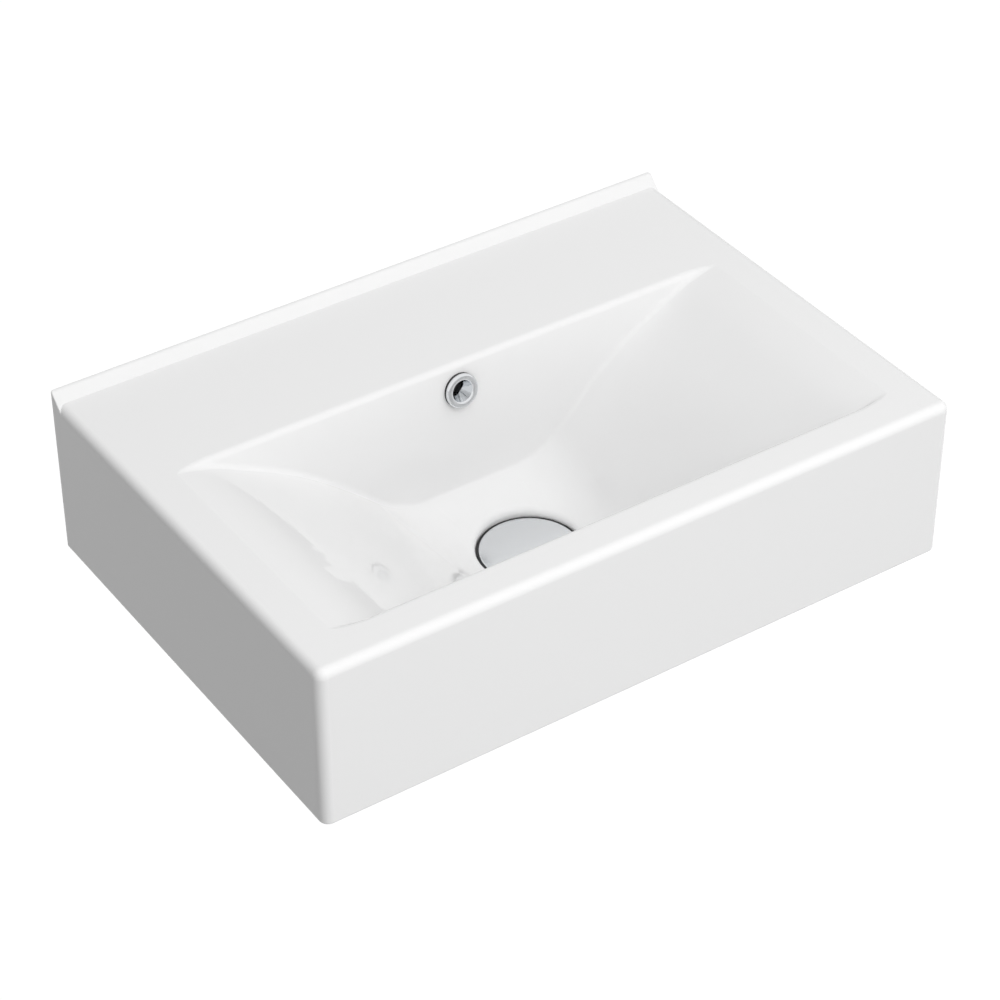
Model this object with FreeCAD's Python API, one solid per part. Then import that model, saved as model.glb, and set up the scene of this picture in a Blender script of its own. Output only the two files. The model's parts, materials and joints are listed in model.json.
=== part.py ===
import FreeCAD, Part
import math
import os

Vector = FreeCAD.Vector

# A wall-hung ceramic washbasin with an overflow ring and a push-to-open waste.
# Frame: +X to the right seen from the front, +Y into the wall, +Z up.
# The origin is on the wall plane, midway between the two wall bolt holes.

# Outer block of the basin
width = 500.0
depth = 345.0
rim_height = 126.0
corner_radius = 7.0
back_corner_radius = 3.0
top_edge_radius = 6.5
bottom_edge_radius = 2.5

# Upstand along the wall
upstand_height = 7.4
upstand_run = 10.0
upstand_top_thickness = 3.0
upstand_nose_radius = 2.5
upstand_end_radius = 1.0

# Wall fixing
bolt_height = 78.0
bolt_spacing = 280.0
bolt_hole_radius = 7.0
bolt_pad_radius = 19.0
bolt_pad_height = 6.0

# Bowl
side_rim = 29.0
front_rim = 31.0
deck_depth = 119.0
floor_height = 22.5
bowl_edge_radius = 5.0
back_wall_angle = 80.0
front_wall_angle = 82.0
back_floor_angle = 8.5
front_floor_angle = 5.0
floor_valley_radius = 90.0
floor_blend_radius = 60.0
crease_radius = 3.5
# The side slopes of the bowl, from the rim inwards: shares of the half bowl width and of the bowl depth
slope_width_shares = (1.0, 0.928, 0.86, 0.792, 0.679, 0.588, 0.498, 0.407, 0.303)
slope_depth_shares = (0.0, 0.03, 0.074, 0.139, 0.251, 0.358, 0.489, 0.642, 0.832)
slope_rim_angle = 8.0
slope_foot_angle = 41.0

# Ceramic walls
shell_thickness = 10.0
skirt_thickness = 11.0
wall_side_thickness = 14.0
cavity_corner_radius = 12.0

# Waste hole in the bowl floor
waste_from_wall = 208.0
waste_bore_radius = 23.0
boss_radius = 36.0
boss_lift = 0.8
recess_depth = 9.0
seat_radius = 33.0
recess_foot_height = 4.0
recess_edge_radius = 5.0

# Overflow hole and the duct from it to the waste hole
overflow_below_rim = 20.0
overflow_hole_radius = 11.0
duct_width = 34.0
duct_run = 14.0
duct_wall = 7.0
duct_roof_below_seat = 2.5
duct_floor_height = 5.5
duct_top_below_rim = 8.5
duct_behind_bowl = 22.0

# Overflow ring, pushed into the overflow hole through a flanged rubber gasket
ring_outer_radius = 12.7
ring_lip_height = 2.2
ring_lip_round_share = 0.8
ring_mouth_radius = 8.4
ring_throat_radius = 4.2
ring_throat_depth = 9.5
ring_barrel_radius = 9.8
ring_barrel_length = 11.0
overflow_gasket_thickness = 2.2
overflow_gasket_radius = 12.6
overflow_gasket_length = 8.0
fit_gap = 0.05

# Waste body: a flanged tube with overflow slots and a bridge
thread_radius = 20.95
tube_bore_radius = 18.0
flange_radius = 31.5
flange_thickness = 2.5
mouth_radius = 20.5
mouth_depth = 4.0
flange_edge_radius = 1.0
tube_bottom_below_base = 62.0
tube_end_chamfer = 1.0
slot_count = 4
slot_width = 13.0
slot_bottom_height = 4.2
slot_top_below_seat = 2.1
thread_groove_depth = 0.8
thread_groove_width = 3.0
thread_groove_below_base = 34.0
bridge_arm_count = 3
bridge_arm_width = 5.0
bridge_thickness = 6.0
bridge_hub_radius = 8.0
bridge_bottom_below_base = 42.0

# Gasket, washers and nut that clamp the waste body
gasket_thickness = 1.5
gasket_outer_radius = 30.0
washer_inner_gap = 0.25
cone_washer_thickness = 5.0
cone_washer_outer_radius = 32.0
cone_washer_foot_radius = 28.0
slip_washer_thickness = 1.5
slip_washer_radius = 29.0
nut_across_flats = 54.0
nut_thickness = 10.0
nut_collar_radius = 29.0
nut_collar_height = 2.0
nut_corner_trim = 1.6

# Plug cap and what it carries; it rests in its low, closed place
cap_radius = 35.5
cap_dome_rise = 1.2
cap_rim_thickness = 2.6
cap_edge_radius = 1.2
cap_boss_radius = 5.0
cap_boss_height = 2.0
cap_lift = 9.0
seal_thickness = 1.6
seal_lip_thickness = 1.4
seal_lip_drop = 0.5
seal_lip_round = 0.4
seal_side_gap = 0.6
seal_gap = 0.3
carrier_radius = 19.5
carrier_thickness = 2.2
carrier_hub_radius = 7.0
carrier_hub_height = 4.0
stem_radius = 2.5
stem_in_cap = 1.2
stem_in_plunger = 7.0

# Push cartridge on the bridge
cartridge_radius = 9.0
cartridge_bore_radius = 7.2
cartridge_top_height = 5.0
cartridge_floor_thickness = 2.0
cartridge_stud_radius = 5.0
cartridge_washer_thickness = 1.2
guide_thickness = 3.5
guide_flange_height = 1.5
plunger_radius = 4.0
plunger_collar_radius = 6.8
plunger_collar_height = 3.0
plunger_pin_radius = 2.5
plunger_pin_length = 6.0
running_gap = 0.08
stop_gap = 0.4
cam_height = 4.5
cam_tooth_height = 1.2
cam_tooth_count = 8
cam_gap = 0.3
spring_wire_radius = 0.6
spring_turns = 8
spring_seat_gap = 0.3
spring_side_gap = 0.4

# Cutting tools run past the faces that they cut by this much
overrun = 5.0
top_clearance = 16.0

full_turn = 360.0
nut_sides = 6
nut_corner_angle = math.pi / nut_sides
coincidence_share = 1e-6
curve_share = 5e-5


# Places worked out from the sizes above
base_z = -bolt_height
rim_z = base_z + rim_height
half_width = width / 2
half_bowl = half_width - side_rim
bowl_back_y = -deck_depth
bowl_front_y = front_rim - depth
bowl_depth = rim_height - floor_height
ring_lip_radius = ring_lip_height * ring_lip_round_share
seal_lip_inner_radius = cap_radius + fit_gap
seal_outer_radius = seal_lip_inner_radius + seal_lip_thickness
recess_radius = seal_outer_radius + seal_side_gap
nut_point_radius = nut_across_flats / 2 / math.cos(nut_corner_angle)
nut_round_radius = nut_point_radius - nut_corner_trim
waste_y = -waste_from_wall
seat_z = base_z + floor_height - recess_depth
boss_bottom_z = base_z + boss_lift
overflow_z = rim_z - overflow_below_rim
overflow_y = bowl_back_y - (rim_z - overflow_z) / math.tan(math.radians(back_wall_angle))
flange_bottom_z = seat_z + gasket_thickness
flange_top_z = flange_bottom_z + flange_thickness
tube_bottom_z = base_z - tube_bottom_below_base
bridge_bottom_z = base_z - bridge_bottom_below_base
bridge_top_z = bridge_bottom_z + bridge_thickness
cap_under_z = flange_top_z + seal_gap + seal_thickness
cap_rim_z = cap_under_z + cap_rim_thickness
cap_boss_z = cap_under_z - cap_boss_height
seal_top_z = cap_rim_z - seal_lip_drop
carrier_bottom_z = cap_under_z - carrier_thickness
carrier_hub_z = carrier_bottom_z - carrier_hub_height
cartridge_bottom_z = bridge_top_z + cartridge_washer_thickness
cartridge_top_z = base_z + cartridge_top_height
guide_bottom_z = cartridge_top_z - guide_thickness
collar_top_z = guide_bottom_z - cap_lift - stop_gap
collar_bottom_z = collar_top_z - plunger_collar_height
cam_top_z = collar_bottom_z - cam_gap
cam_bottom_z = cam_top_z - cam_height


def box(x_low, x_high, y_low, y_high, z_low, z_high):
    """A block between two opposite corners."""
    return Part.makeBox(x_high - x_low, y_high - y_low, z_high - z_low, Vector(x_low, y_low, z_low))


def disc(radius, z_low, z_high, x=0, y=waste_y):
    """An upright round block, on the waste axis unless it is placed elsewhere."""
    return Part.makeCylinder(radius, z_high - z_low, Vector(x, y, z_low))


def ring(outer_radius, inner_radius, z_low, z_high):
    """An upright round block with a bore, on the waste axis."""
    return disc(outer_radius, z_low, z_high).cut(disc(inner_radius, z_low, z_high))


def turned(outline):
    """A solid of revolution about the waste axis, from points of radius and height."""
    points = [Vector(radius, waste_y, z) for radius, z in outline]
    face = Part.Face(Part.makePolygon(points + points[:1]))
    return face.revolve(Vector(0, waste_y, 0), Vector(0, 0, 1), full_turn)


def edges_of(shape, test):
    """The edges of a shape whose middle point passes the test."""
    chosen = []
    for edge in shape.Edges:
        middle = edge.valueAt((edge.FirstParameter + edge.LastParameter) / 2)
        if test(middle, edge):
            chosen.append(edge)
    return chosen


def near(value, place):
    """True where two lengths agree closely, measured against the block's width."""
    return abs(value - place) < width * coincidence_share


def is_upright(edge):
    """True for a straight edge that runs along Z."""
    box_of_edge = edge.BoundBox
    return near(box_of_edge.XLength, 0) and near(box_of_edge.YLength, 0)


def is_level_at(edge, height):
    """True for an edge that lies level at a height."""
    box_of_edge = edge.BoundBox
    return near(box_of_edge.ZMin, height) and near(box_of_edge.ZMax, height)


def runs_across(edge):
    """True for a straight edge that runs along X."""
    box_of_edge = edge.BoundBox
    return near(box_of_edge.YLength, 0) and near(box_of_edge.ZLength, 0)


def outer_block():
    """The plain outside of the basin, with its soft edges."""
    block = box(-half_width, half_width, -depth, 0, base_z, rim_z)
    front = edges_of(block, lambda p, e: is_upright(e) and near(p.y, -depth))
    block = block.makeFillet(corner_radius, front)
    back = edges_of(block, lambda p, e: is_upright(e) and near(p.y, 0))
    block = block.makeFillet(back_corner_radius, back)
    top = edges_of(block, lambda p, e: near(p.z, rim_z) and not near(p.y, 0))
    block = block.makeFillet(top_edge_radius, top)
    bottom = edges_of(block, lambda p, e: near(p.z, base_z))
    return block.makeFillet(bottom_edge_radius, bottom)


def upstand():
    """The low ledge along the wall: its face slopes down to the deck, its ends are flush with the sides."""
    top_z = rim_z + upstand_height
    root_z = rim_z - top_edge_radius
    slope = (upstand_run - upstand_top_thickness) / upstand_height
    foot_y = -upstand_run - slope * top_edge_radius
    outline = [(0, root_z), (0, top_z), (-upstand_top_thickness, top_z), (foot_y, root_z)]
    points = [Vector(-half_width, y, z) for y, z in outline]
    ledge = Part.Face(Part.makePolygon(points + points[:1])).extrude(Vector(width, 0, 0))
    back = edges_of(ledge, lambda p, e: is_upright(e) and near(p.y, 0))
    ledge = ledge.makeFillet(back_corner_radius, back)
    nose = edges_of(ledge, lambda p, e: is_level_at(e, top_z) and near(p.y, -upstand_top_thickness))
    ledge = ledge.makeFillet(upstand_nose_radius, nose)
    ends = [edge for edge in edges_of(ledge, is_upstand_end) if not is_level_at(edge, root_z)]
    return ledge.makeFillet(upstand_end_radius, ends)


def is_upstand_end(middle, edge):
    """True for the edges of the upstand's two end faces, but for the upright ones at the wall."""
    return near(abs(middle.x), half_width) and not near(middle.y, 0) and not is_upright(edge)


def slope_profile(growth):
    """The bowl across the basin: two bulging side slopes that meet far below the floor."""
    points = []
    for width_share, depth_share in zip(slope_width_shares, slope_depth_shares):
        points.append(Vector(half_bowl * width_share, 0, rim_z - bowl_depth * depth_share))
    rim_angle = math.radians(slope_rim_angle)
    foot_angle = math.radians(slope_foot_angle)
    rim_tangent = Vector(-math.cos(rim_angle), 0, -math.sin(rim_angle))
    foot_tangent = Vector(-math.cos(foot_angle), 0, -math.sin(foot_angle))
    curve = Part.BSplineCurve()
    curve.interpolate(Points=points, InitialTangent=rim_tangent, FinalTangent=foot_tangent)
    moved = []
    for point in points:
        tangent = curve.tangent(curve.parameter(point))[0]
        moved.append(point + Vector(-tangent.z, 0, tangent.x) * growth)
    if growth:
        curve = Part.BSplineCurve()
        curve.interpolate(Points=moved, InitialTangent=rim_tangent, FinalTangent=foot_tangent)
    first = moved[0]
    last = moved[-1]
    apex = Vector(0, 0, last.z - last.x * math.tan(foot_angle))
    outside = first - rim_tangent * (top_clearance / math.sin(rim_angle))
    right = Part.Wire([
        Part.makeLine(outside, first),
        curve.toShape(),
        Part.makeLine(last, apex),
    ])
    left = right.mirror(Vector(0, 0, 0), Vector(1, 0, 0))
    lid = Part.makeLine(Vector(-outside.x, 0, outside.z), outside)
    return Part.Face(Part.Wire(Part.__sortEdges__(right.Edges + left.Edges + [lid])))


def floor_profile(growth):
    """The bowl's floor from front to back: two planes that fall to the waste."""
    fall_angle = math.radians(back_floor_angle)
    rise_angle = math.radians(front_floor_angle)
    low_z = rim_z - bowl_depth - growth / math.cos(fall_angle)
    front_y = bowl_front_y - top_clearance
    back_y = bowl_back_y + top_clearance
    corners = [
        Vector(0, front_y, rim_z + top_clearance),
        Vector(0, front_y, low_z + (waste_y - front_y) * math.tan(rise_angle)),
        Vector(0, waste_y, low_z),
        Vector(0, back_y, low_z + (back_y - waste_y) * math.tan(fall_angle)),
        Vector(0, back_y, rim_z + top_clearance),
    ]
    return Part.Face(Part.makePolygon(corners + corners[:1]))


def end_profile(growth):
    """The room between the bowl's steep back and front ends, down to well below its floor."""
    back_angle = math.radians(back_wall_angle)
    front_angle = math.radians(front_wall_angle)
    back_y = bowl_back_y + growth / math.sin(back_angle)
    front_y = bowl_front_y - growth / math.sin(front_angle)
    drop = rim_height + growth
    corners = [
        Vector(0, front_y - top_clearance / math.tan(front_angle), rim_z + top_clearance),
        Vector(0, front_y + drop / math.tan(front_angle), rim_z - drop),
        Vector(0, back_y - drop / math.tan(back_angle), rim_z - drop),
        Vector(0, back_y + top_clearance / math.tan(back_angle), rim_z + top_clearance),
    ]
    return Part.Face(Part.makePolygon(corners + corners[:1]))


def swept_across(profile):
    """A profile seen from the side, drawn out across the whole basin and past it."""
    swept = profile.extrude(Vector(2 * width, 0, 0))
    swept.translate(Vector(-width, 0, 0))
    return swept


def bowl_space(growth=0):
    """The room inside the bowl, or inside a bowl whose walls stand further out by a growth."""
    slopes = slope_profile(growth).extrude(Vector(0, depth, 0))
    slopes.translate(Vector(0, -depth, 0))
    floor = swept_across(floor_profile(growth))
    valley = edges_of(floor, lambda p, e: runs_across(e) and near(p.y, waste_y))
    floor = floor.makeFillet(floor_valley_radius + growth, valley)
    room = slopes.common(floor)
    foot_x = half_bowl * slope_width_shares[-1] - crease_radius
    feet = edges_of(room, lambda p, e: abs(p.x) < foot_x and not near(e.BoundBox.YLength, 0))
    room = room.makeFillet(floor_blend_radius + growth, feet)
    return room.common(swept_across(end_profile(growth)))


def is_bowl_crease(middle, edge):
    """True for an edge in the bowl's back or front end, below the rim."""
    drop = rim_z - middle.z
    back_y = bowl_back_y - drop / math.tan(math.radians(back_wall_angle))
    front_y = bowl_front_y + drop / math.tan(math.radians(front_wall_angle))
    return 0 < drop < bowl_depth and not is_level_at(edge, rim_z) and (
        near(middle.y, back_y) or near(middle.y, front_y)
    )


def is_bowl_rim(middle, edge):
    """True for an edge round the bowl's mouth."""
    in_width = abs(middle.x) < half_bowl + bowl_edge_radius
    in_depth = bowl_front_y - bowl_edge_radius < middle.y < bowl_back_y + bowl_edge_radius
    return is_level_at(edge, rim_z) and in_width and in_depth


def cavity():
    """The open underside: the room in the skirt, clear of the bowl, the waste boss, the duct and the pads."""
    room = box(
        skirt_thickness - half_width,
        half_width - skirt_thickness,
        skirt_thickness - depth,
        -wall_side_thickness,
        base_z - overrun,
        rim_z - shell_thickness,
    )
    corners = edges_of(room, lambda p, e: is_upright(e))
    room = room.makeFillet(cavity_corner_radius, corners)
    room = room.cut(bowl_space(shell_thickness))
    room = room.cut(disc(boss_radius, boss_bottom_z, rim_z))
    room = room.cut(duct(duct_wall))
    for side in (1, -1):
        pad = Part.makeCylinder(
            bolt_pad_radius,
            wall_side_thickness + bolt_pad_height,
            Vector(side * bolt_spacing / 2, 0, 0),
            Vector(0, -1, 0),
        )
        room = room.cut(pad)
    return room


def duct(wall=0):
    """The overflow duct, or its outside when a wall thickness is given."""
    half = duct_width / 2 + wall
    back_y = bowl_back_y + duct_behind_bowl + wall
    front_y = bowl_back_y + duct_behind_bowl - duct_run - wall
    low_z = base_z + duct_floor_height - wall
    low_z = max(low_z, boss_bottom_z) if wall else low_z
    fall = box(-half, half, front_y, back_y, low_z, rim_z - duct_top_below_rim + wall)
    run = box(-half, half, waste_y, back_y, low_z, seat_z - duct_roof_below_seat + wall)
    return fall.fuse(run)


def overflow_placed(shape):
    """Turns a shape made upright at the origin so that +Z leaves the overflow hole into the bowl."""
    placed = shape.copy()
    placed.rotate(Vector(0, 0, 0), Vector(1, 0, 0), back_wall_angle)
    placed.translate(Vector(0, overflow_y, overflow_z))
    return placed


def waste_recess():
    """The dished seat round the waste hole, open upwards."""
    return turned([
        (0, seat_z),
        (seat_radius, seat_z),
        (recess_radius, seat_z + recess_foot_height),
        (recess_radius, rim_z),
        (0, rim_z),
    ])


def is_recess_mouth(middle, edge):
    """True for an edge where the waste recess opens into the bowl's floor."""
    if is_upright(edge) or is_level_at(edge, seat_z + recess_foot_height):
        return False
    places = [vertex.Point for vertex in edge.Vertexes] + [middle]
    distances = [math.hypot(place.x, place.y - waste_y) for place in places]
    return all(abs(distance - recess_radius) < width * curve_share for distance in distances)


def basin_body():
    """The glazed ceramic body, all in one piece."""
    body = outer_block().fuse(upstand())
    body = body.cut(bowl_space())
    body = body.makeFillet(crease_radius, edges_of(body, is_bowl_crease))
    body = body.makeFillet(bowl_edge_radius, edges_of(body, is_bowl_rim))
    body = body.cut(waste_recess())
    body = body.makeFillet(recess_edge_radius, edges_of(body, is_recess_mouth))
    body = body.cut(cavity())
    body = body.cut(disc(waste_bore_radius, base_z - overrun, rim_z))
    body = body.cut(duct())
    hole_depth = shell_thickness + duct_run / 2
    hole_length = shell_thickness + duct_run
    hole = Part.makeCylinder(overflow_hole_radius, hole_length, Vector(0, 0, -hole_depth))
    body = body.cut(overflow_placed(hole))
    for side in (1, -1):
        bolt_hole = Part.makeCylinder(
            bolt_hole_radius,
            wall_side_thickness + bolt_pad_height + 2 * overrun,
            Vector(side * bolt_spacing / 2, overrun, 0),
            Vector(0, -1, 0),
        )
        body = body.cut(bolt_hole)
    return body


def overflow_ring():
    """Bright ring of the overflow hole: a full round lip over the gasket and a barrel with a funnel in it."""
    lip_z = overflow_gasket_thickness
    top_z = lip_z + ring_lip_height
    end_z = lip_z - ring_barrel_length
    throat_z = top_z - ring_throat_depth
    lip = Part.makeCylinder(ring_outer_radius, ring_lip_height, Vector(0, 0, lip_z))
    lip = lip.makeFillet(ring_lip_radius, edges_of(lip, lambda p, e: near(p.z, top_z)))
    shape = lip.fuse(Part.makeCylinder(ring_barrel_radius, ring_barrel_length, Vector(0, 0, end_z)))
    throat = Part.makeCylinder(ring_throat_radius, ring_lip_height + ring_barrel_length, Vector(0, 0, end_z))
    funnel = Part.makeCone(ring_throat_radius, ring_mouth_radius, ring_throat_depth, Vector(0, 0, throat_z))
    shape = shape.cut(throat).cut(funnel)
    mouth = edges_of(shape, lambda p, e: is_level_at(e, top_z) and near(e.BoundBox.XMax, ring_mouth_radius))
    return overflow_placed(shape.makeFillet(ring_lip_radius, mouth))


def overflow_gasket():
    """Flanged rubber gasket: a flange under the ring's lip and a sleeve that grips the barrel."""
    flange = Part.makeCylinder(overflow_gasket_radius, overflow_gasket_thickness)
    inner_end = Vector(0, 0, -overflow_gasket_length)
    sleeve = Part.makeCylinder(overflow_hole_radius - fit_gap, overflow_gasket_length, inner_end)
    bore_length = overflow_gasket_length + overflow_gasket_thickness
    bore = Part.makeCylinder(ring_barrel_radius + fit_gap, bore_length, inner_end)
    return overflow_placed(flange.fuse(sleeve).cut(bore))


def waste_body():
    """Flanged tube with its slots for the overflow, a groove in the thread and a bridge for the cartridge."""
    outside = turned([
        (0, tube_bottom_z),
        (thread_radius - tube_end_chamfer, tube_bottom_z),
        (thread_radius, tube_bottom_z + tube_end_chamfer),
        (thread_radius, flange_bottom_z),
        (flange_radius, flange_bottom_z),
        (flange_radius, flange_top_z),
        (0, flange_top_z),
    ])
    brim = edges_of(outside, lambda p, e: near(p.z, flange_top_z))
    outside = outside.makeFillet(flange_edge_radius, brim)
    bore = turned([
        (0, tube_bottom_z - overrun),
        (tube_bore_radius, tube_bottom_z - overrun),
        (tube_bore_radius, flange_top_z - mouth_depth),
        (mouth_radius, flange_top_z),
        (mouth_radius, flange_top_z + overrun),
        (0, flange_top_z + overrun),
    ])
    body = outside.cut(bore)
    groove_low_z = base_z - thread_groove_below_base
    groove = ring(
        thread_radius + overrun,
        thread_radius - thread_groove_depth,
        groove_low_z,
        groove_low_z + thread_groove_width,
    )
    body = body.cut(groove)
    for turn in range(slot_count):
        slot = box(
            0,
            thread_radius + overrun,
            -slot_width / 2,
            slot_width / 2,
            base_z + slot_bottom_height,
            seat_z - slot_top_below_seat,
        )
        slot.rotate(Vector(0, 0, 0), Vector(0, 0, 1), (turn + 1 / 2) * full_turn / slot_count)
        slot.translate(Vector(0, waste_y, 0))
        body = body.cut(slot)
    hub = disc(bridge_hub_radius, bridge_bottom_z, bridge_top_z)
    for turn in range(bridge_arm_count):
        arm = box(
            0,
            tube_bore_radius + (thread_radius - tube_bore_radius) / 2,
            -bridge_arm_width / 2,
            bridge_arm_width / 2,
            bridge_bottom_z,
            bridge_top_z,
        )
        arm.rotate(Vector(0, 0, 0), Vector(0, 0, 1), turn * full_turn / bridge_arm_count)
        arm.translate(Vector(0, waste_y, 0))
        hub = hub.fuse(arm)
    body = body.fuse(hub)
    return body.cut(disc(cartridge_stud_radius + fit_gap, bridge_bottom_z - overrun, bridge_top_z + overrun))


def waste_top_gasket():
    """Rubber gasket between the flange and the ceramic seat."""
    return ring(gasket_outer_radius, thread_radius + washer_inner_gap, seat_z, flange_bottom_z)


def waste_bottom_washer():
    """Tapered rubber washer under the ceramic boss."""
    bottom_z = boss_bottom_z - cone_washer_thickness
    cone = turned([
        (0, bottom_z),
        (cone_washer_foot_radius, bottom_z),
        (cone_washer_outer_radius, boss_bottom_z),
        (0, boss_bottom_z),
    ])
    return cone.cut(disc(thread_radius + washer_inner_gap, bottom_z - overrun, boss_bottom_z + overrun))


def waste_slip_washer():
    """Thin nylon washer that lets the nut turn under the rubber."""
    top_z = boss_bottom_z - cone_washer_thickness
    return ring(slip_washer_radius, thread_radius + washer_inner_gap, top_z - slip_washer_thickness, top_z)


def waste_backnut():
    """Hexagon nut with a round collar that clamps the waste body."""
    top_z = boss_bottom_z - cone_washer_thickness - slip_washer_thickness
    bottom_z = top_z - nut_thickness
    corners = []
    for corner in range(nut_sides):
        angle = corner * 2 * nut_corner_angle
        corners.append(Vector(
            nut_point_radius * math.cos(angle),
            waste_y + nut_point_radius * math.sin(angle),
            bottom_z,
        ))
    hexagon = Part.Face(Part.makePolygon(corners + corners[:1]))
    nut = hexagon.extrude(Vector(0, 0, nut_thickness - nut_collar_height))
    nut = nut.common(disc(nut_round_radius, bottom_z, top_z))
    nut = nut.fuse(disc(nut_collar_radius, top_z - nut_collar_height, top_z))
    return nut.cut(disc(thread_radius + fit_gap, bottom_z - overrun, top_z + overrun))


def waste_cap():
    """Round, slightly domed plug cap with a rounded rim and a boss below for its stem."""
    side_z = cap_rim_z - cap_edge_radius
    dome_top_z = cap_rim_z + cap_dome_rise
    reach = cap_radius - cap_edge_radius
    dome_radius = (reach ** 2 + cap_dome_rise ** 2) / (2 * cap_dome_rise)
    dome_centre_z = dome_top_z - dome_radius
    half_turn_share = math.sqrt(0.5)

    def at(radius, z):
        return Vector(radius, waste_y, z)

    edges = [
        Part.makeLine(at(0, cap_under_z), at(reach, cap_under_z)),
        Part.Arc(
            at(reach, cap_under_z),
            at(reach + cap_edge_radius * half_turn_share, (cap_under_z + side_z) / 2),
            at(cap_radius, side_z),
        ).toShape(),
        Part.Arc(
            at(cap_radius, side_z),
            at(reach + cap_edge_radius * half_turn_share, side_z + cap_edge_radius * half_turn_share),
            at(reach, cap_rim_z),
        ).toShape(),
        Part.Arc(
            at(reach, cap_rim_z),
            at(reach / 2, dome_centre_z + math.sqrt(dome_radius ** 2 - (reach / 2) ** 2)),
            at(0, dome_top_z),
        ).toShape(),
        Part.makeLine(at(0, dome_top_z), at(0, cap_under_z)),
    ]
    cap = Part.Face(Part.Wire(edges)).revolve(Vector(0, waste_y, 0), Vector(0, 0, 1), full_turn)
    cap = cap.fuse(disc(cap_boss_radius, cap_boss_z, cap_under_z))
    return cap.cut(disc(stem_radius, cap_boss_z, cap_under_z + stem_in_cap))


def cap_seal():
    """Rubber cup under the cap with a lip round its edge, just clear of the flange and the recess."""
    seal = ring(seal_outer_radius, carrier_radius, cap_under_z - seal_thickness, cap_under_z)
    seal = seal.fuse(ring(seal_outer_radius, seal_lip_inner_radius, cap_under_z, seal_top_z))
    top = edges_of(seal, lambda p, e: is_level_at(e, seal_top_z))
    brim = [edge for edge in top if near(edge.BoundBox.XMax, seal_outer_radius)]
    return seal.makeFillet(seal_lip_round, brim)


def cap_carrier():
    """Plastic plate under the cap that centres the seal and carries the cap on the plunger."""
    plate = disc(carrier_radius, carrier_bottom_z, cap_under_z)
    plate = plate.fuse(disc(carrier_hub_radius, carrier_hub_z, carrier_bottom_z))
    plate = plate.cut(disc(cap_boss_radius, cap_boss_z, cap_under_z))
    return plate.cut(disc(stem_radius, carrier_hub_z, cap_boss_z))


def cap_stem():
    """Threaded stem that joins the cap, the carrier and the plunger."""
    return disc(stem_radius, carrier_hub_z - stem_in_plunger, cap_under_z + stem_in_cap)


def plunger():
    """Plastic plunger: a rod with a toothed collar and a pin for the cam."""
    rod = disc(plunger_radius, collar_top_z, carrier_hub_z)
    collar = disc(plunger_collar_radius, collar_bottom_z + cam_tooth_height, collar_top_z)
    crown = toothed_ring(plunger_collar_radius, collar_bottom_z, collar_bottom_z + cam_tooth_height)
    pin = disc(plunger_pin_radius, collar_bottom_z - plunger_pin_length, collar_bottom_z + cam_tooth_height)
    body = rod.fuse(collar).fuse(crown).fuse(pin)
    return body.cut(disc(stem_radius, carrier_hub_z - stem_in_plunger, carrier_hub_z))


def toothed_ring(radius, z_low, z_high):
    """A ring of square teeth round the plunger's pin, with one tooth on the X axis."""
    teeth = []
    pitch = full_turn / cam_tooth_count
    for tooth in range(cam_tooth_count):
        foot = Vector(0, waste_y, z_low)
        wedge = Part.makeCylinder(radius, z_high - z_low, foot, Vector(0, 0, 1), pitch / 2)
        wedge.rotate(Vector(0, waste_y, 0), Vector(0, 0, 1), (tooth - 1 / 4) * pitch)
        teeth.append(wedge)
    crown = teeth[0].multiFuse(teeth[1:])
    return crown.cut(disc(plunger_pin_radius + running_gap, z_low, z_high))


def cam_ring():
    """Cam that turns on the plunger's pin by one tooth for each press."""
    root_z = cam_top_z - cam_tooth_height
    band = ring(plunger_collar_radius, plunger_pin_radius + running_gap, cam_bottom_z, root_z)
    return band.fuse(toothed_ring(plunger_collar_radius, root_z, cam_top_z))


def cartridge_housing():
    """Barrel of the push cartridge, with a stud that screws into the bridge."""
    barrel = disc(cartridge_radius, cartridge_bottom_z, cartridge_top_z)
    stud = disc(cartridge_stud_radius, bridge_bottom_z, cartridge_bottom_z)
    barrel = barrel.fuse(stud)
    floor_z = cartridge_bottom_z + cartridge_floor_thickness
    return barrel.cut(disc(cartridge_bore_radius, floor_z, cartridge_top_z))


def cartridge_guide():
    """Bush at the top of the barrel that guides the plunger and stops its collar."""
    bush = disc(cartridge_bore_radius, guide_bottom_z, cartridge_top_z)
    flange_z = cartridge_top_z + guide_flange_height
    bush = bush.fuse(disc(cartridge_radius, cartridge_top_z, flange_z))
    return bush.cut(disc(plunger_radius + running_gap, guide_bottom_z, flange_z))


def cartridge_washer():
    """Rubber washer between the barrel and the bridge."""
    return ring(bridge_hub_radius, cartridge_stud_radius + fit_gap, bridge_top_z, cartridge_bottom_z)


def cartridge_spring():
    """Coil spring that pushes the cam and the plunger up."""
    low_z = cartridge_bottom_z + cartridge_floor_thickness + spring_wire_radius
    high_z = cam_bottom_z - spring_seat_gap - spring_wire_radius
    radius = cartridge_bore_radius - spring_wire_radius - spring_side_gap
    path = Part.makeHelix((high_z - low_z) / spring_turns, high_z - low_z, radius)
    start = path.Vertexes[0].Point
    section = Part.Wire(Part.makeCircle(spring_wire_radius, start, Vector(0, 1, 0)))
    coil = Part.Wire(path.Edges).makePipeShell([section], True, True)
    coil.translate(Vector(0, waste_y, low_z))
    return coil


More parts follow.
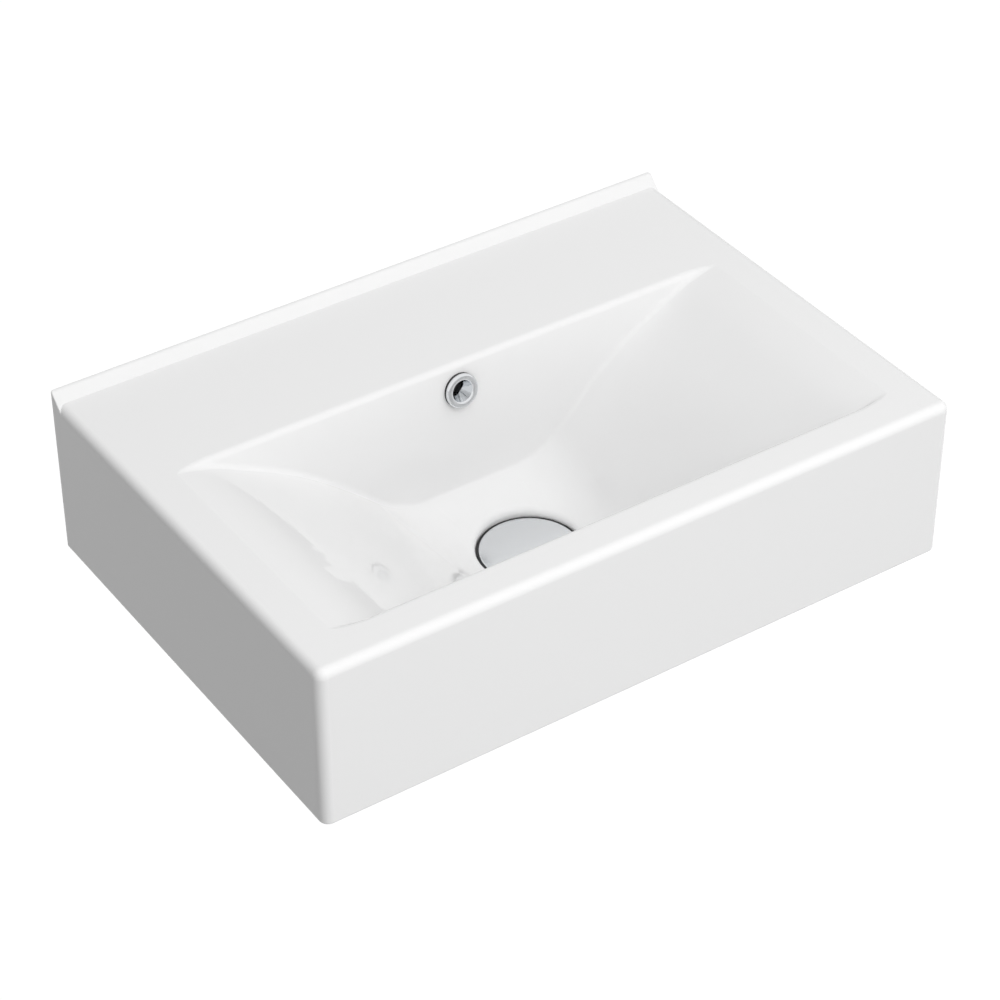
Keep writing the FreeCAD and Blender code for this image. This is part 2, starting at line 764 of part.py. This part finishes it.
def main():
    os.makedirs("parts", exist_ok=True)
    makers = [
        basin_body,
        overflow_ring,
        overflow_gasket,
        waste_body,
        waste_top_gasket,
        waste_bottom_washer,
        waste_slip_washer,
        waste_backnut,
        waste_cap,
        cap_seal,
        cap_carrier,
        cap_stem,
        plunger,
        cam_ring,
        cartridge_housing,
        cartridge_guide,
        cartridge_washer,
        cartridge_spring,
    ]
    for make in makers:
        shape = make()
        shape.exportStep("parts/" + make.__name__ + ".step")
        print(make.__name__, shape.isValid(), len(shape.Solids), round(shape.Volume, 1))


main()
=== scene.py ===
import json
import math

import bpy
from mathutils import Matrix, Vector

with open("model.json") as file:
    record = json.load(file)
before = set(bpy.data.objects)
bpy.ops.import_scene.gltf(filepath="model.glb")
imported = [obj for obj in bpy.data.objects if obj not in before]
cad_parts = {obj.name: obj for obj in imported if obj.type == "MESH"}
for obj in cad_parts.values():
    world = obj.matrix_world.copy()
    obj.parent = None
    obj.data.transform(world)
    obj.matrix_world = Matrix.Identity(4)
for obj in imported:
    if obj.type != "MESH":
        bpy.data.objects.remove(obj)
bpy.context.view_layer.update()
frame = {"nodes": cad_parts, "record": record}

# All lengths are in metres; MM turns a size in millimetres into metres
MM = 0.001
HALF = 0.5

# The sRGB curve: a straight foot up to the knee, then a power
CHANNEL_TOP = 255
CURVE_KNEE = 0.04045
FOOT_SLOPE = 12.92
CURVE_OFFSET = 0.055
CURVE_POWER = 2.4
OPAQUE = 1.0

# Sockets of the colour mix, which share their names with those of other data types
MIX_SHARE = 0
MIX_FIRST = 6
MIX_SECOND = 7
MIX_RESULT = 2

# The sides of a matrix that turns and moves
MATRIX_SIDES = 4

# The camera, found by fitting the basin's outline in the photograph
CAMERA_PLACE = (-0.9390, -1.5620, 1.2510)
CAMERA_RIGHT = (0.8280, -0.5607, -0.0017)
CAMERA_UP = (0.3425, 0.5034, 0.7933)
FOCAL_PIXELS = 3063.6
PICTURE_PIXELS = 1000
SENSOR_WIDTH = 36.0
VIEW_LIMIT = 100.0

# The floor lies where it does under a basin hung at its usual height
FLOOR_BELOW_BOLTS = 0.80
FLOOR_SIZE = 14.0
FLOOR_GLOW = 0.88

# Light: a broad soft key high in front, a low fill on the front face, a pale sky all round
SKY_STRENGTH = 0.45
LAMP_TARGET = (0.0, -0.17, 0.0)
KEY_POWER = 62.0
KEY_SIZE = 4.0
KEY_PLACE = (0.45, -1.45, 2.7)
FILL_POWER = 31.2
FILL_SIZE = 2.4
FILL_PLACE = (-0.15, -3.0, 0.05)

# A black flag at the left keeps light off the left face; only diffuse rays meet it
FLAG_X = -1.4
FLAG_Y = (-1.2, 1.2)
FLAG_Z = (-0.8, 0.3)

# A grey card far behind on the right, seen only in the gloss: its lower edge draws the line
# down the left slope. Each corner of the edge is a place along the card and a height.
CARD_DISTANCE = 3.0
CARD_TURN = -44.4
CARD_EDGE = (
    (-0.9, 1.6),
    (-0.3, 1.3),
    (-0.194, 1.042),
    (-0.104, 0.812),
    (-0.065, 0.715),
    (-0.035, 0.622),
    (-0.02, 0.59),
    (0.005, 0.532),
    (0.023, 0.49),
    (0.034, 0.482),
    (0.049, 0.436),
    (0.059, 0.424),
    (0.096, 0.419),
    (0.115, 0.404),
    (0.136, 0.395),
    (0.148, 0.402),
    (0.167, 0.42),
    (0.168, 0.56),
    (0.2, 0.55),
    (0.212, 0.5),
    (0.224, 0.445),
    (0.24, 0.39),
    (0.256, 0.386),
    (0.266, 0.38),
    (0.284, 0.401),
    (0.31, 0.431),
    (1.6, 0.3),
)
CARD_TOP = 1.6
CARD_LOW = 0.42
CARD_TONE = 0.3
WHITE_GLOW = 1.0

# Colours as sRGB hex values
GLAZE_WHITE = "F2F2F2"
BISCUIT = "E3DED3"
CHROME = "E2E4E6"
BLACK_RUBBER = "1B1B1C"
RUBBER_BLOOM = "2A2A2B"
MOULDED_NYLON = "E4E4E0"
BRASS = "C8A765"
STEEL = "B9BBBD"
FLOOR_PALE = "848484"
FLAG_BLACK = "0A0A0A"
STUDIO_WHITE = "FFFFFF"

# Surface detail
GLAZE_RIPPLE = 16 * MM
GLAZE_RIPPLE_DEPTH = 0.005 * MM
BISCUIT_GRAIN = 0.35 * MM
BISCUIT_GRAIN_DEPTH = 0.05 * MM
UNGLAZED_BACK_Y = -0.6 * MM
UNGLAZED_FOOT_Z = -77.4 * MM
POLISH_GRAIN = 0.6 * MM
THREAD_PITCH = 2.309 * MM
THREAD_DEPTH = 0.6 * MM
THREAD_TOP_Z = -90.0 * MM
THREAD_INNER_RADIUS = 19.0 * MM
WASTE_AXIS = (0.0, -208.0 * MM, 0.0)
RUBBER_GRAIN = 0.25 * MM
RUBBER_GRAIN_DEPTH = 0.03 * MM
NYLON_GRAIN = 0.5 * MM
NYLON_GRAIN_DEPTH = 0.01 * MM
TURNING_PITCH = 0.25 * MM
TURNING_DEPTH = 0.01 * MM
DRAWN_GRAIN = 0.2 * MM

# Finish: refraction index, and roughness from the smoothest patch to the dullest
GLAZE_IOR = 1.5
GLAZE_ROUGHNESS = 0.02
BISCUIT_IOR = 1.45
BISCUIT_ROUGHNESS = (0.75, 0.95)
FULL_METAL = 1.0
CHROME_ROUGHNESS = (0.03, 0.08)
WIPED_CHROME_ROUGHNESS = (0.15, 0.2)
THREAD_ROUGHNESS = (0.05, 0.12)
RUBBER_IOR = 1.5
RUBBER_ROUGHNESS = (0.5, 0.7)
NYLON_IOR = 1.53
NYLON_ROUGHNESS = (0.35, 0.5)
NYLON_GLOW_THROUGH = 0.1
NYLON_GLOW_DEPTH = 1.0 * MM
BRASS_ROUGHNESS = (0.2, 0.32)
STEEL_ROUGHNESS = (0.22, 0.38)

# Soft noise stays mostly between these two values; more octaves give a finer grain
NOISE_LOW = 0.3
NOISE_HIGH = 0.7
SOFT_OCTAVES = 2.0
CLOUD_OCTAVES = 3.0
GRAIN_OCTAVES = 4.0


def linear(hex_colour):
    """Turns an sRGB hex colour into the linear colour that the shaders take."""
    channels = []
    for number in bytes.fromhex(hex_colour):
        value = number / CHANNEL_TOP
        if value <= CURVE_KNEE:
            channels.append(value / FOOT_SLOPE)
        else:
            channels.append(((value + CURVE_OFFSET) / (1 + CURVE_OFFSET)) ** CURVE_POWER)
    return (*channels, OPAQUE)


def add_node(tree, kind, settings=None, links=None):
    """Adds a node. Settings name sockets or properties; links name an input and the output that
    feeds it."""
    node = tree.nodes.new(kind)
    for name, value in (settings or {}).items():
        if isinstance(name, int) or name in node.inputs:
            node.inputs[name].default_value = value
        else:
            setattr(node, name, value)
    for name, source in (links or {}).items():
        tree.links.new(source, node.inputs[name])
    return node


def new_material(name):
    """An empty material, its node tree and its output node."""
    material = bpy.data.materials.new(name)
    material.use_nodes = True
    tree = material.node_tree
    tree.nodes.clear()
    output = tree.nodes.new("ShaderNodeOutputMaterial")
    return material, tree, output


def calculate(tree, operation, *values):
    """A Math node on numbers and sockets; gives its value."""
    settings = {"operation": operation}
    links = {}
    for index, value in enumerate(values):
        if isinstance(value, bpy.types.NodeSocket):
            links[index] = value
        else:
            settings[index] = value
    return add_node(tree, "ShaderNodeMath", settings, links).outputs["Value"]


def mapped(tree, source, low, high, new_low, new_high):
    """Moves a value from one range to another, held at the ends."""
    node = add_node(
        tree,
        "ShaderNodeMapRange",
        {"From Min": low, "From Max": high, "To Min": new_low, "To Max": new_high},
        {"Value": source},
    )
    return node.outputs["Result"]


def noise(tree, place, size, octaves):
    """Soft noise with patches of a size."""
    settings = {"Scale": 1 / size, "Detail": octaves}
    node = add_node(tree, "ShaderNodeTexNoise", settings, {"Vector": place})
    return node.outputs["Fac"]


def patchy(tree, cloud, limits):
    """Spreads soft noise over a roughness from one limit to the other."""
    return mapped(tree, cloud, NOISE_LOW, NOISE_HIGH, *limits)


def sawtooth(tree, turns):
    """A ridge that rises and falls once in each whole turn."""
    return calculate(tree, "PINGPONG", turns, HALF)


def bumped(tree, height, depth):
    """A normal bent by a height, where 1 stands for the full depth."""
    node = add_node(tree, "ShaderNodeBump", {"Distance": depth}, {"Height": height})
    return node.outputs["Normal"]


def object_place(tree):
    """Coordinates in the part's own frame, in metres."""
    return add_node(tree, "ShaderNodeTexCoord").outputs["Object"]


def split(tree, place):
    """The three coordinates of a place."""
    return add_node(tree, "ShaderNodeSeparateXYZ", links={"Vector": place}).outputs


def glazed_china():
    """Vitreous china under a clear white glaze: a hard, even gloss with a faint ripple, and matt
    oatmeal biscuit where the piece is left bare, on the face to the wall and the ground foot."""
    material, tree, output = new_material("white_glazed_china")
    place = object_place(tree)
    along = split(tree, place)
    ripple = noise(tree, place, GLAZE_RIPPLE, SOFT_OCTAVES)
    glaze = add_node(
        tree,
        "ShaderNodeBsdfPrincipled",
        {"Base Color": linear(GLAZE_WHITE), "Roughness": GLAZE_ROUGHNESS, "IOR": GLAZE_IOR},
        {"Normal": bumped(tree, ripple, GLAZE_RIPPLE_DEPTH)},
    )
    grain = noise(tree, place, BISCUIT_GRAIN, GRAIN_OCTAVES)
    bare = add_node(
        tree,
        "ShaderNodeBsdfPrincipled",
        {"Base Color": linear(BISCUIT), "IOR": BISCUIT_IOR},
        {
            "Roughness": patchy(tree, grain, BISCUIT_ROUGHNESS),
            "Normal": bumped(tree, grain, BISCUIT_GRAIN_DEPTH),
        },
    )
    at_wall = calculate(tree, "GREATER_THAN", along["Y"], UNGLAZED_BACK_Y)
    at_foot = calculate(tree, "LESS_THAN", along["Z"], UNGLAZED_FOOT_Z)
    mix = add_node(
        tree,
        "ShaderNodeMixShader",
        links={
            0: calculate(tree, "MAXIMUM", at_wall, at_foot),
            1: glaze.outputs["BSDF"],
            2: bare.outputs["BSDF"],
        },
    )
    tree.links.new(mix.outputs["Shader"], output.inputs["Surface"])
    return material


def chrome_plate(name, limits):
    """Bright chrome plate: a mirror clouded a little by hand polishing, or more by years of
    wiping."""
    material, tree, output = new_material(name)
    place = object_place(tree)
    cloud = noise(tree, place, POLISH_GRAIN, CLOUD_OCTAVES)
    shader = add_node(
        tree,
        "ShaderNodeBsdfPrincipled",
        {"Base Color": linear(CHROME), "Metallic": FULL_METAL},
        {"Roughness": patchy(tree, cloud, limits)},
    )
    tree.links.new(shader.outputs["BSDF"], output.inputs["Surface"])
    return material


def threaded_chrome():
    """The chrome of the waste tube, with the pipe thread cut round its tail."""
    material, tree, output = new_material("threaded_chrome")
    place = object_place(tree)
    centred = add_node(
        tree,
        "ShaderNodeVectorMath",
        {"operation": "SUBTRACT", 1: WASTE_AXIS},
        {0: place},
    ).outputs["Vector"]
    along = split(tree, centred)
    across = calculate(tree, "MULTIPLY", along["X"], along["X"])
    forward = calculate(tree, "MULTIPLY", along["Y"], along["Y"])
    radius = calculate(tree, "SQRT", calculate(tree, "ADD", across, forward))
    angle = calculate(tree, "ARCTAN2", along["Y"], along["X"])
    turn = calculate(tree, "DIVIDE", angle, math.tau)
    rise = calculate(tree, "DIVIDE", along["Z"], THREAD_PITCH)
    tooth = sawtooth(tree, calculate(tree, "ADD", rise, turn))
    outside = calculate(tree, "GREATER_THAN", radius, THREAD_INNER_RADIUS)
    low = calculate(tree, "LESS_THAN", along["Z"], THREAD_TOP_Z)
    on_thread = calculate(tree, "MULTIPLY", outside, low)
    height = calculate(tree, "MULTIPLY", tooth, on_thread)
    cloud = noise(tree, place, POLISH_GRAIN, CLOUD_OCTAVES)
    shader = add_node(
        tree,
        "ShaderNodeBsdfPrincipled",
        {"Base Color": linear(CHROME), "Metallic": FULL_METAL},
        {
            "Roughness": patchy(tree, cloud, THREAD_ROUGHNESS),
            "Normal": bumped(tree, height, THREAD_DEPTH),
        },
    )
    tree.links.new(shader.outputs["BSDF"], output.inputs["Surface"])
    return material


def black_rubber():
    """Pressed black rubber: a dull, fine-grained skin with a slight grey bloom."""
    material, tree, output = new_material("black_rubber")
    place = object_place(tree)
    grain = noise(tree, place, RUBBER_GRAIN, GRAIN_OCTAVES)
    colour = add_node(
        tree,
        "ShaderNodeMix",
        {
            "data_type": "RGBA",
            MIX_FIRST: linear(BLACK_RUBBER),
            MIX_SECOND: linear(RUBBER_BLOOM),
        },
        {MIX_SHARE: grain},
    ).outputs[MIX_RESULT]
    shader = add_node(
        tree,
        "ShaderNodeBsdfPrincipled",
        {"IOR": RUBBER_IOR},
        {
            "Base Color": colour,
            "Roughness": patchy(tree, grain, RUBBER_ROUGHNESS),
            "Normal": bumped(tree, grain, RUBBER_GRAIN_DEPTH),
        },
    )
    tree.links.new(shader.outputs["BSDF"], output.inputs["Surface"])
    return material


def moulded_nylon():
    """Off-white moulded nylon: waxy, half matt, a little light passes through."""
    material, tree, output = new_material("moulded_nylon")
    place = object_place(tree)
    grain = noise(tree, place, NYLON_GRAIN, CLOUD_OCTAVES)
    shader = add_node(
        tree,
        "ShaderNodeBsdfPrincipled",
        {
            "Base Color": linear(MOULDED_NYLON),
            "IOR": NYLON_IOR,
            "Subsurface Weight": NYLON_GLOW_THROUGH,
            "Subsurface Scale": NYLON_GLOW_DEPTH,
        },
        {
            "Roughness": patchy(tree, grain, NYLON_ROUGHNESS),
            "Normal": bumped(tree, grain, NYLON_GRAIN_DEPTH),
        },
    )
    tree.links.new(shader.outputs["BSDF"], output.inputs["Surface"])
    return material


def turned_brass():
    """Brass off the lathe: fine tool rings that break the highlight into bands."""
    material, tree, output = new_material("turned_brass")
    place = object_place(tree)
    along = split(tree, place)
    rings = sawtooth(tree, calculate(tree, "DIVIDE", along["Z"], TURNING_PITCH))
    cloud = noise(tree, place, POLISH_GRAIN, CLOUD_OCTAVES)
    shader = add_node(
        tree,
        "ShaderNodeBsdfPrincipled",
        {"Base Color": linear(BRASS), "Metallic": FULL_METAL},
        {
            "Roughness": patchy(tree, cloud, BRASS_ROUGHNESS),
            "Normal": bumped(tree, rings, TURNING_DEPTH),
        },
    )
    tree.links.new(shader.outputs["BSDF"], output.inputs["Surface"])
    return material


def drawn_steel():
    """Stainless spring wire: a grey satin with fine drawing lines."""
    material, tree, output = new_material("drawn_steel")
    place = object_place(tree)
    grain = noise(tree, place, DRAWN_GRAIN, CLOUD_OCTAVES)
    shader = add_node(
        tree,
        "ShaderNodeBsdfPrincipled",
        {"Base Color": linear(STEEL), "Metallic": FULL_METAL},
        {"Roughness": patchy(tree, grain, STEEL_ROUGHNESS)},
    )
    tree.links.new(shader.outputs["BSDF"], output.inputs["Surface"])
    return material


SLOT_MATERIALS = {
    "glazed_ceramic": glazed_china(),
    "chrome": chrome_plate("polished_chrome", CHROME_ROUGHNESS),
    "rubber": black_rubber(),
    "nylon": moulded_nylon(),
    "brass": turned_brass(),
    "steel": drawn_steel(),
}
NODE_MATERIALS = {
    "waste_body": threaded_chrome(),
    "waste_cap": chrome_plate("wiped_chrome", WIPED_CHROME_ROUGHNESS),
}


def dress_nodes():
    """Gives every CAD node the finish of its slot, or its own, and smooth shading."""
    for subpart in frame["record"]["subparts"]:
        node = subpart["node"]
        slot_material = SLOT_MATERIALS[subpart["material_slot"]]
        mesh = frame["nodes"][node].data
        mesh.materials.clear()
        mesh.materials.append(NODE_MATERIALS.get(node, slot_material))
        mesh.shade_smooth()


def sees_background(tree):
    """One for camera, mirror and clear rays, which see the white studio."""
    path = add_node(tree, "ShaderNodeLightPath").outputs
    either = calculate(tree, "MAXIMUM", path["Is Camera Ray"], path["Is Glossy Ray"])
    return calculate(tree, "MAXIMUM", either, path["Is Transmission Ray"])


def make_sky():
    """A pale even sky that lights the basin, white where it is seen."""
    world = bpy.data.worlds.new("studio")
    bpy.context.scene.world = world
    world.use_nodes = True
    tree = world.node_tree
    tree.nodes.clear()
    layers = []
    for strength in (SKY_STRENGTH, WHITE_GLOW):
        settings = {"Color": linear(STUDIO_WHITE), "Strength": strength}
        layer = add_node(tree, "ShaderNodeBackground", settings)
        layers.append(layer.outputs["Background"])
    mix = add_node(
        tree,
        "ShaderNodeMixShader",
        links={0: sees_background(tree), 1: layers[0], 2: layers[1]},
    )
    output = add_node(tree, "ShaderNodeOutputWorld")
    tree.links.new(mix.outputs["Shader"], output.inputs["Surface"])


def make_floor():
    """A plain pale floor, lifted to white in the picture by a glow that leaves the shadow on it."""
    mesh = bpy.data.meshes.new("floor")
    half = FLOOR_SIZE * HALF
    corners = [(-half, -half, 0), (half, -half, 0), (half, half, 0), (-half, half, 0)]
    mesh.from_pydata(corners, [], [(0, 1, 2, 3)])
    floor = bpy.data.objects.new("floor", mesh)
    floor.location = (0, 0, -FLOOR_BELOW_BOLTS)
    bpy.context.scene.collection.objects.link(floor)
    material, tree, output = new_material("pale_floor")
    matt = add_node(tree, "ShaderNodeBsdfDiffuse", {"Color": linear(FLOOR_PALE)})
    glow = add_node(
        tree,
        "ShaderNodeEmission",
        {"Color": linear(STUDIO_WHITE)},
        {"Strength": calculate(tree, "MULTIPLY", sees_background(tree), FLOOR_GLOW)},
    )
    both = add_node(
        tree,
        "ShaderNodeAddShader",
        links={0: matt.outputs["BSDF"], 1: glow.outputs["Emission"]},
    )
    tree.links.new(both.outputs["Shader"], output.inputs["Surface"])
    mesh.materials.append(material)


def add_stage_piece(name, corners, faces, material, seen_by):
    """A flat piece of the studio that only one kind of ray meets."""
    mesh = bpy.data.meshes.new(name)
    mesh.from_pydata(corners, [], faces)
    mesh.materials.append(material)
    piece = bpy.data.objects.new(name, mesh)
    bpy.context.scene.collection.objects.link(piece)
    for kind in ("camera", "diffuse", "glossy", "transmission", "shadow"):
        setattr(piece, "visible_" + kind, kind == seen_by)
    return piece


def make_flag():
    """The black flag at the left."""
    material, tree, output = new_material("black_flag")
    matt = add_node(tree, "ShaderNodeBsdfDiffuse", {"Color": linear(FLAG_BLACK)})
    tree.links.new(matt.outputs["BSDF"], output.inputs["Surface"])
    front, back = FLAG_Y
    low, high = FLAG_Z
    sides = [(front, low), (back, low), (back, high), (front, high)]
    corners = [(FLAG_X, y, z) for y, z in sides]
    add_stage_piece("flag", corners, [(0, 1, 2, 3)], material, "diffuse")


def make_card():
    """The grey card behind: grey at its lower edge, white at its top."""
    material, tree, output = new_material("grey_card")
    height = split(tree, object_place(tree))["Z"]
    glow = add_node(
        tree,
        "ShaderNodeEmission",
        {"Color": linear(STUDIO_WHITE)},
        {"Strength": mapped(tree, height, CARD_LOW, CARD_TOP, CARD_TONE, WHITE_GLOW)},
    )
    tree.links.new(glow.outputs["Emission"], output.inputs["Surface"])
    corners = [(along, 0, z) for along, z in CARD_EDGE]
    corners += [(CARD_EDGE[-1][0], 0, CARD_TOP)]
    piece = add_stage_piece("card", corners, [tuple(range(len(corners)))], material, "glossy")
    turn = Matrix.Rotation(math.radians(CARD_TURN), MATRIX_SIDES, "Z")
    piece.matrix_world = turn @ Matrix.Translation((0, CARD_DISTANCE, 0))


def aim(place, target):
    """The world matrix of a lamp at a place, looking at a target."""
    way = Vector(target) - Vector(place)
    return Matrix.Translation(place) @ way.to_track_quat("-Z", "Y").to_matrix().to_4x4()


def make_lamp(name, power, size, place):
    """A round soft lamp that faces the basin and leaves no bright spot in the gloss."""
    lamp = bpy.data.lights.new(name, "AREA")
    lamp.shape = "DISK"
    lamp.size = size
    lamp.energy = power
    holder = bpy.data.objects.new(name, lamp)
    holder.matrix_world = aim(place, LAMP_TARGET)
    holder.visible_glossy = False
    bpy.context.scene.collection.objects.link(holder)


def make_camera():
    """The camera at the photograph's place and angle."""
    lens = bpy.data.cameras.new("camera")
    lens.sensor_width = SENSOR_WIDTH
    lens.lens = FOCAL_PIXELS / PICTURE_PIXELS * SENSOR_WIDTH
    lens.clip_end = VIEW_LIMIT
    camera = bpy.data.objects.new("camera", lens)
    right = Vector(CAMERA_RIGHT).normalized()
    up = Vector(CAMERA_UP)
    up = (up - right * up.dot(right)).normalized()
    turn = Matrix((right, up, right.cross(up))).transposed().to_4x4()
    camera.matrix_world = Matrix.Translation(CAMERA_PLACE) @ turn
    bpy.context.scene.collection.objects.link(camera)
    bpy.context.scene.camera = camera


dress_nodes()
make_sky()
make_floor()
make_flag()
make_card()
make_lamp("key", KEY_POWER, KEY_SIZE, KEY_PLACE)
make_lamp("fill", FILL_POWER, FILL_SIZE, FILL_PLACE)
make_camera()
bpy.context.scene.view_settings.view_transform = "Standard"
